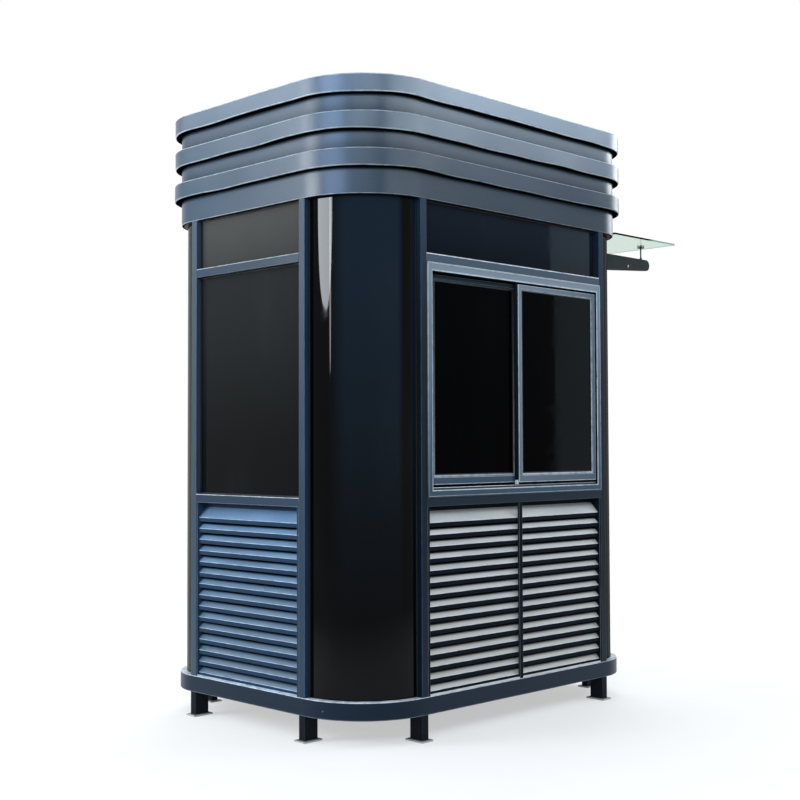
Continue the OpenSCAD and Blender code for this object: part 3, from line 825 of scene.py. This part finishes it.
def makeLouvres():
    floor, sill = floorZ, sillZ
    (x0, x1), _, (doorLow, doorHigh) = localBox("door_louvre", "right")
    makeLouvre("frontLouvres", "front_louvres", "front", frontOpen / 2, floor, sill, "slatSilver")
    makeLouvre("backLouvres", "back_louvres", "back", frontOpen / 2, floor, sill, "slatSilver")
    makeLouvre("leftLouvre", "left_louvre", "left", sideOpen / 2, floor, sill, "slatBlue")
    makeLouvre("doorLouvre", "door_louvre", "right", (x1 - x0) / 2, doorLow, doorHigh, "slatBlue")


# Door on the right-hand side: leaf of stiles and three rails, hinges, pull handle and lock
doorSize = {"face": 0.060, "arris": 0.003}
hingeSize = {"tall": 0.110, "radius": 0.008, "knuckles": 5, "groove": 0.0012, "plate": 0.004,
             "corner": 0.004,
             "screwOut": 0.022, "screwPlaces": (0.18, 0.5,
                                                0.82), "screwSunk": 0.0004, "screwSides": 12,
             "screw": [(0.0038, 0.0), (0.0036, 0.0012), (0.0018, 0.002)]}
handleSize = {"radius": 0.010, "dome": 0.006, "domeSteps": 6, "tip": 1e-5,
              "rose": [(0.008, 0.006), (0.014, 0.005), (0.016, 0.001), (0.016, 0.0)]}
lockSize = {"drop": 0.055, "halfWide": 0.022, "halfTall": 0.034, "plate": 0.004, "corner": 0.008,
            "barrel": [(0.011, 0), (0.011, 0.004), (0.0095, 0.0055), (0.004, 0.0055),
                       (0.0035, 0.004)]}


def makeLeaf():
    (x0, x1), (y0, y1), (z0, z1) = localBox("door_leaf", "right")
    face, arris = doorSize["face"], doorSize["arris"]
    _, _, (louvreFoot, louvreHead) = localBox("door_louvre", "right")
    _, _, (lightFoot, lightHead) = localBox("door_glass", "right")
    bars = [barZ(x, x + face, y0, y1, z0, z1, arris) for x in (x0, x1 - face)]
    bars += [barX(x0 + face, x1 - face, y0, y1, low, high, arris)
             for low, high in ((z0, louvreFoot), (louvreHead, lightFoot), (lightHead, z1))]
    makePiece("doorLeaf", bars, "slatePaint", "frame_paint", "door_leaf", side="right")


def makeHinges():
    # A plate with screws on each side of a barrel whose knuckles part at small grooves
    (x0, x1), _, (z0, z1) = localBox("door_hinges", "right")
    seam, tall, radius = (x0 + x1) / 2, hingeSize["tall"], hingeSize["radius"]
    groove, plate, count = hingeSize["groove"], hingeSize["plate"], hingeSize["knuckles"]
    joints = np.linspace(0, tall, count + 1)
    height = np.repeat(joints, 4)[2:-2] + np.tile([0, groove, -groove, 0], count)
    barrel = np.stack([np.tile([radius - groove, radius, radius, radius - groove], count), height],
                      1)
    parts = []
    for base in (z0, (z0 + z1 - tall) / 2, z1 - tall):
        parts.append(plateY(x0, x1, -plate, 0, base, base + tall, hingeSize["corner"]))
        parts.append(turned(barrel, (seam, -radius, base), (0, 0, 1)))
        parts += [turned(hingeSize["screw"],
                         (x, hingeSize["screwSunk"] - plate, base + share * tall), (0, -1, 0),
                         hingeSize["screwSides"])
                  for x in (seam - hingeSize["screwOut"], seam + hingeSize["screwOut"])
                  for share in hingeSize["screwPlaces"]]
    makePiece("doorHinges", parts, "brightSteel", "ironmongery", "door_hinges", side="right")


def makeHandle():
    # A round bar with domed ends on two stems with roses, and a lock below it
    (x0, x1), (y0, _), (z0, z1) = localBox("door_handle", "right")
    radius, dome = handleSize["radius"], handleSize["dome"]
    axisX, axisY = (x0 + x1) / 2, y0 + radius
    angle = np.linspace(0, math.pi / 2, handleSize["domeSteps"])
    capRadius, capHigh = radius * np.cos(angle) + handleSize["tip"], dome * np.sin(angle)
    outline = np.concatenate([np.stack([capRadius[::-1], z0 + dome - capHigh[::-1]], 1),
                              np.stack([capRadius, z1 - dome + capHigh], 1)])
    stem = [(handleSize["rose"][0][0], 0)] + [(reach, -axisY - out) for reach,
                                              out in handleSize["rose"]]
    parts = [turned(outline, (axisX, axisY, 0), (0, 0, 1))]
    parts += [turned(stem, (axisX, axisY, z), (0, 1, 0)) for z in (z0 + 2 * radius,
                                                                   z1 - 2 * radius)]
    makePiece("doorHandle", parts, "brightSteel", "ironmongery", "door_handle", side="right")
    wide, tall, plate, lockZ = lockSize["halfWide"], lockSize["halfTall"], lockSize["plate"], z0 - lockSize["drop"]
    lock = [plateY(axisX - wide, axisX + wide, -plate, 0, lockZ - tall, lockZ + tall,
                   lockSize["corner"]),
            turned(lockSize["barrel"], (axisX, -plate, lockZ), (0, -1, 0))]
    makePiece("doorLock", lock, "brightSteel", "ironmongery", side="right")


# Canopy over the door: clear sheet on two tapered arms with spider fittings
sheetSize = {"arris": 0.0018, "greenRim": 0.0022}
armSize = {"tip": 0.062, "thick": 0.020, "rake": 0.0005, "radii": [0.002, 0.002, 0.0305, 0.0305],
           "steps": 10,
           "soft": 0.002, "edgeWeight": (0.5, 1.0, 1.0, 0.5), "boltSides": 12,
           # out, below the top
           "boltPlaces": ((-0.353, 0.055), (-0.060, 0.030), (-0.060, 0.076)),
           "bolt": [(0.008, -0.001), (0.008, 0.003), (0.0065, 0.0045), (0.0025, 0.005)]}
spiderSize = {"spacing": 0.370, "reach": 0.020, "half": 0.005, "high": 0.008, "round": 0.9,
              "steps": 5,
              "collar": 0.0065, "collarHigh": 0.010, "rod": 0.004, "neck": 0.003, "head": 0.006, "lap": 0.001,
              "rodSides": 20, "buttonSides": 16,
              "button": [(0.006, 0), (0.008, 0.001), (0.008, 0.003), (0.005, 0.005),
                         (0.002, 0.0054)]}


def makeCanopyGlass():
    (x0, x1), (y0, y1), (z0, z1) = localBox("canopy_glass", "right")
    profile, _, _ = roundBox(y0, y1, z0, z1, sheetSize["arris"])
    fromRim = (y1 - y0) / 2 - np.abs(profile[:, 0] - (y0 + y1) / 2)
    sheet = carry("x", profile, (x0, x1), (fromRim < sheetSize["greenRim"]).astype(float))
    makePiece("canopyGlass", [sheet], "canopyGreen", "clear_glass", "canopy_glass", side="right")


def makeArms():
    # An outline in (y, z), deep at the wall and round at its tip, drawn in a little at both faces
    (x0, x1), (y0, _), (z0, z1) = localBox("canopy_arms", "right")
    thick, soft = armSize["thick"], armSize["soft"]
    shape = [(0, z1), (0, z0), (y0 + armSize["rake"], z1 - armSize["tip"]), (y0, z1)]
    outline, _, _ = roundProfile(shape, armSize["radii"], armSize["steps"])
    arms, bolts = [], []
    for x in (x0, x1 - thick):
        stations = (x, x + soft, x + thick - soft, x + thick)
        arms.append(carry("x", outline, stations, byCorner(armSize["edgeWeight"]), (soft, 0, 0, soft)))
        bolts += [turned(armSize["bolt"], (face, out, z1 - below), (sign, 0, 0),
                         armSize["boltSides"])
                  for sign, face in ((-1, x),
                                     (1, x + thick)) for out, below in armSize["boltPlaces"]]
    makePiece("canopyArms", arms, "armPaint", "canopy_metal", "canopy_arms", side="right")
    makePiece("armBolts", bolts, "brightSteel", "ironmongery", side="right")


def makeSpiders():
    # A rod with a collar carries two crossed bars under the sheet, with a button over each end
    (armStart, armEnd), _, _ = localBox("canopy_arms", "right")
    _, (y0, y1), (z0, z1) = localBox("canopy_spiders", "right")
    _, _, (_, sheetTop) = localBox("canopy_glass", "right")
    reach, half, head, lap = (spiderSize[key] for key in ("reach", "half", "head", "lap"))
    collar, rod, low = spiderSize["collar"], spiderSize["rod"], z1 - spiderSize["high"]
    collarTop = z0 + spiderSize["collarHigh"]
    stem = [(collar, z0 - lap), (collar, collarTop), (rod, collarTop + spiderSize["neck"]),
            (rod, low - head),
            (head, low), (head, z1)]
    bar, edge, _ = roundBox(-reach, reach, -half, half, half * spiderSize["round"],
                            spiderSize["steps"])
    margin = (y1 - y0 - spiderSize["spacing"]) / 2
    parts = []
    for x in (armStart + armSize["thick"] / 2, armEnd - armSize["thick"] / 2):
        for y in (y0 + margin, y1 - margin):
            parts.append(turned(stem, (x, y, 0), (0, 0, 1), spiderSize["rodSides"]))
            for angle in (math.pi / 4, -math.pi / 4):
                cos, sin = math.cos(angle), math.sin(angle)
                spin = np.array([[cos, sin], [-sin, cos]])
                parts.append(carry("z", bar @ spin + [x, y], (low, z1 - lap / 2), edge))
                for end in (half - reach, reach - half):
                    place = np.array([end, 0]) @ spin + [x, y]
                    parts.append(turned(spiderSize["button"], (*place, sheetTop - lap / 2),
                                        (0, 0, 1),
                                        spiderSize["buttonSides"]))
    makePiece("canopySpiders", parts, "armPaint", "canopy_metal", "canopy_spiders", side="right")


# Roof deck: one sheet in the crown with lapped seams and a low swell to its middle
deckSize = {"seams": 5, "seamSpan": 0.92, "seamWide": 0.018, "seamHigh": 0.012, "seamSteps": 9,
            "swell": 0.010,
            "fade": 0.05, "lower": 0.004, "stepsX": 97, "stepsY": 61, "sharp": 50}


def deckEdge(local, sign):
    # How far the sheet reaches in y at each x: the plan's straight side, then its two arcs
    skin = crownSize["skin"]
    radius = np.where(local * sign > 0, wideRadius, tightRadius)
    past = np.clip(np.abs(local) - (halfW - radius), 0, radius - skin)
    return sign * (halfD - radius + np.sqrt(np.maximum((radius - skin) ** 2 - past ** 2, 0)))


def makeDeck():
    # z = top + (seams + swell) * fade: a seam is 1 - (gap / width)^4, the swell (1 - x^2)(1 - y^2)
    low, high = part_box("roof_deck")
    wide = deckSize["seamWide"]
    seamX = np.linspace(-1, 1, deckSize["seams"] + 2)[1:-1] * halfW * deckSize["seamSpan"]
    fine = np.linspace(-1, 1, deckSize["seamSteps"]) * wide
    broad = np.linspace(low.x, high.x, deckSize["stepsX"]) - midX
    local = np.unique(np.concatenate([broad, (seamX[:, None] + fine).ravel()]))[:, None]
    front, back = deckEdge(local, -1), deckEdge(local, 1)
    y = front + (back - front) * np.linspace(0, 1, deckSize["stepsY"])
    gap = np.abs(local - seamX).min(1, keepdims=True)
    seam = np.clip(1 - (gap / wide) ** 4, 0, 1) * deckSize["seamHigh"]
    fade = np.clip(np.minimum(y - front, back - y) / deckSize["fade"], 0, 1)
    swell = deckSize["swell"] * (1 - (local / halfW) ** 2) * (1 - (y / halfD) ** 2)
    top = high.z - deckSize["lower"] + (seam + swell) * fade
    upper = np.stack([np.broadcast_to(local + midX, y.shape), y, top], -1)
    lower = upper.copy()
    lower[..., 2] = low.z
    # Carried along x, each row is a closed loop: out along the top and back along the underside
    deck = gridPart(np.concatenate([upper, lower[:, ::-1]], 1), 0.0)
    makePiece("roofDeck", [deck], "deckGrey", "deck", "roof_deck", sharpAngle=deckSize["sharp"])


makeBaseRing()
makeCrown()
makeFrame()
makeLegs()
print("ring, crown, frame and legs made")
makeCorners()
makeSeals()
makeWindow("front")
makeWindow("back")
print("corners and windows made")
makeLouvres()
makeLeaf()
makeHinges()
makeHandle()
print("louvres and door made")
makeCanopyGlass()
makeArms()
makeSpiders()
makeDeck()
print("canopy and deck made")

# Nodes of the frame that stay as they are take finishes too
kept = {
    "frontGlass": ["front_sash_glass", "back_sash_glass"],
    "frontTopGlass": ["front_top_light", "back_top_light"],
    "leftGlass": ["left_window_glass", "door_glass"],
    "leftTopGlass": ["left_top_light", "right_top_light"],
    # painted shade: the head ring takes the near-black paint so the soffit reads dark
    "legPaint": ["head_ring"],
    "deckGrey": ["floor_panel", "ceiling_panel"],
}
for finishName, nodes in kept.items():
    for node in nodes:
        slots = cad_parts[node].data.materials
        slots.clear()
        slots.append(finish[finishName])

# Studio: a pale floor that runs out to white and a pale world, both greyer on the camera's side
studio = {"floorHalf": 60.0, "floorLift": 0.5, "nearWhite": 2.4, "farWhite": 5.5,
          "away": (0.7071, 0.7071, 0.0),
          "toneStart": -0.2, "toneEnd": 0.75, "frontTone": 0.4, "backTone": 1.0}


def backdropTone(sheet, place):
    # White behind the booth, a soft grey on the camera's side: the same for far floor and world
    unit = sheet.add("VectorMath", {0: place}, operation="NORMALIZE")["Vector"]
    depth = sheet.add("VectorMath", {0: unit, 1: studio["away"]}, operation="DOT_PRODUCT")["Value"]
    return sheet.ramp(depth, studio["toneStart"], studio["toneEnd"], studio["frontTone"],
                      studio["backTone"])


def makeFloor():
    half = studio["floorHalf"]
    mesh = bpy.data.meshes.new("studioFloor")
    mesh.from_pydata([(*corner, 0) for corner in rectangle(-half, half, -half, half)], [],
                     [(0, 1, 2, 3)])
    sheet = NodeSheet(bpy.data.materials.new("studioFloorPale"))
    sheet.set(Base_Color=sheet.mix(sheet.noise(1.5), "#b4b4b4", "#bababa"), Roughness=0.9,
              Specular_IOR_Level=0.05)
    # Far from the booth the floor runs out to white, for the rays that look at it
    length = sheet.add("VectorMath", {0: sheet.coords}, operation="LENGTH")["Value"]
    far = sheet.ramp(length, studio["nearWhite"], studio["farWhite"])
    path = sheet.add("LightPath")
    mirrored = sheet.sum("MAXIMUM", path["Is Glossy Ray"], path["Is Transmission Ray"])
    seen = sheet.sum("MAXIMUM", path["Is Camera Ray"], mirrored)
    glow = sheet.add("Emission", {"Strength": backdropTone(sheet, sheet.coords)})["Emission"]
    lift = sheet.add("Emission",
                     {"Strength": sheet.sum("MULTIPLY", seen, studio["floorLift"])})["Emission"]
    lit = sheet.add("AddShader", {0: sheet.shader.outputs["BSDF"], 1: lift})["Shader"]
    blend = sheet.add("MixShader", {0: sheet.sum("MULTIPLY", far, seen), 1: lit, 2: glow})["Shader"]
    sheet.feed(sheet.tree.nodes["Material Output"].inputs["Surface"], blend)
    mesh.materials.append(sheet.owner)
    floor = bpy.data.objects.new("studioFloor", mesh)
    bpy.context.scene.collection.objects.link(floor)


def makeWorld():
    world = bpy.data.worlds.new("studioWorld")
    sheet = NodeSheet(world)
    background = sheet.tree.nodes["Background"]
    background.inputs["Color"].default_value = (1.0, 1.0, 1.0, 1.0)
    sheet.feed(background.inputs["Strength"], backdropTone(sheet, sheet.place["Generated"]))
    bpy.context.scene.world = world


def placed(right, up, back, place):
    # The matrix of a lamp or camera that looks along its own -z
    turn = np.eye(4)
    turn[:3] = np.stack([right, up, back, place], 1)
    return Matrix(turn.tolist())


def softBox(name, place, aim, size, power, tint):
    lamp = bpy.data.lights.new(name, "AREA")
    lamp.shape = "RECTANGLE"
    lamp.size, lamp.size_y = size
    lamp.energy = power
    lamp.color = tint
    box = bpy.data.objects.new(name, lamp)
    back = np.asarray(place, float) - np.asarray(aim, float)
    back /= np.linalg.norm(back)
    right = np.cross([0, 0, 1], back)
    right /= np.linalg.norm(right)
    box.matrix_world = placed(right, np.cross(back, right), back, place)
    bpy.context.scene.collection.objects.link(box)
    return box


def lampTakes(lamp, objects, state):
    # A group of objects that a lamp takes in or leaves out
    group = bpy.data.collections.new(lamp.name + "Group")
    for one in objects:
        group.objects.link(one)
    for member in group.collection_objects:
        member.light_linking.link_state = state
    lamp.light_linking.receiver_collection = group


# Lamps: place, aim, width and height, power, tint
cool = (0.74, 0.87, 1.0)
lamps = {
    "skyBox": ((4.2, 3.6, 6.4), (0, 0, 1.0), (5.0, 4.0), 230.0, (0.96, 0.98, 1.0)),
    "leftKey": ((-7.2, 3.4, 3.4), (-1.0, -0.2, 1.8), (3.0, 2.6), 330.0, (0.93, 0.97, 1.0)),
    "leftBox": ((-5.4, 5.2, 5.6), (-0.5, 0, 2.6), (5.0, 2.2), 150.0, cool),
    "frontBox": ((-6.6, -6.6, 6.0), (-0.5, 0, 2.6), (6.0, 2.4), 400.0, cool),
    "rightBox": ((5.6, -5.0, 5.7), (0, 0, 2.6), (5.0, 2.4), 240.0, cool),
    "streakBox": ((-7.1, 1.3, 3.6), (-1.2, -0.4, 3.4), (3.0, 2.0), 480.0, (0.88, 0.95, 1.0)),
    "threadBox": ((-7.3, 0.35, 3.0), (-1.2, -0.4, 2.8), (0.4, 2.0), 44.0, (1.0, 0.93, 0.9)),
    "paneBox": ((8.1, -6.0, 2.3), (0.2, -0.72, 1.8), (1.7, 4.4), 57.0, (0.62, 0.86, 1.0)),
    "bandLeft": ((-9.3, -1.2, 4.7), (-1.3, -0.4, 2.85), (5.0, 2.4), 460.0, (0.55, 0.71, 1.0)),
    "bandFront": ((1.2, -9.0, 4.7), (-0.9, -0.79, 2.85), (9.4, 2.4), 624.0, (0.88, 0.97, 1.0)),
    "bandRight": ((9.0, -1.4, 4.7), (0.75, -0.7, 2.85), (4.0, 2.4), 200.0, (0.9, 0.97, 1.0)),
}


def makeLamps():
    # Some lamps are seen in one group's gloss alone: two ovals draw the tapering streaks on the
    # near
    # corner, a pane stands in the front glass, and three more keep the crown's rolled corners light
    boxes = {name: softBox(name, *lamp) for name, lamp in lamps.items()}
    panels = [bpy.data.objects[name + "Corner"] for name in ("frontLeft", "frontRight", "backLeft",
                                                             "backRight")]
    panes = [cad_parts[node] for node in ("front_sash_glass", "front_top_light")]
    crown = [bpy.data.objects[name] for name in ("crownFascia", "lowerBand", "middleBand",
                                                 "topBand")]
    lampTakes(boxes["leftKey"], panels, "EXCLUDE")
    for name in ("streakBox", "threadBox"):
        boxes[name].data.shape = "ELLIPSE"
    glossOnly = {"streakBox": panels, "threadBox": panels, "paneBox": panes,
                 "bandLeft": crown, "bandFront": crown, "bandRight": crown}
    for name, takes in glossOnly.items():
        boxes[name].visible_diffuse = False
        lampTakes(boxes[name], takes, "INCLUDE")


# Camera at the photograph's view, for a square image
view = {"place": (-5.1208, -4.8209, 1.3319), "yaw": 44.950, "pitch": 2.043, "roll": -0.186,
        "lens": 58.02,
        "sensor": 36.0, "near": 0.05, "far": 300.0}


def makeCamera():
    yaw, pitch, roll = (math.radians(view[key]) for key in ("yaw", "pitch", "roll"))
    ahead = np.array([math.sin(yaw) * math.cos(pitch), math.cos(yaw) * math.cos(pitch),
                      math.sin(pitch)])
    right = np.array([math.cos(yaw), -math.sin(yaw), 0.0])
    up = np.cross(right, ahead)
    lens = bpy.data.cameras.new("photoView")
    lens.lens, lens.sensor_width = view["lens"], view["sensor"]
    lens.clip_start, lens.clip_end = view["near"], view["far"]
    camera = bpy.data.objects.new("photoView", lens)
    camera.matrix_world = placed(right * math.cos(roll) + up * math.sin(roll),
                                 up * math.cos(roll) - right * math.sin(roll), -ahead, view["place"])
    bpy.context.scene.collection.objects.link(camera)
    bpy.context.scene.camera = camera


makeFloor()
makeWorld()
makeLamps()
makeCamera()
bpy.context.scene.view_settings.view_transform = "Standard"
print("studio and camera set")
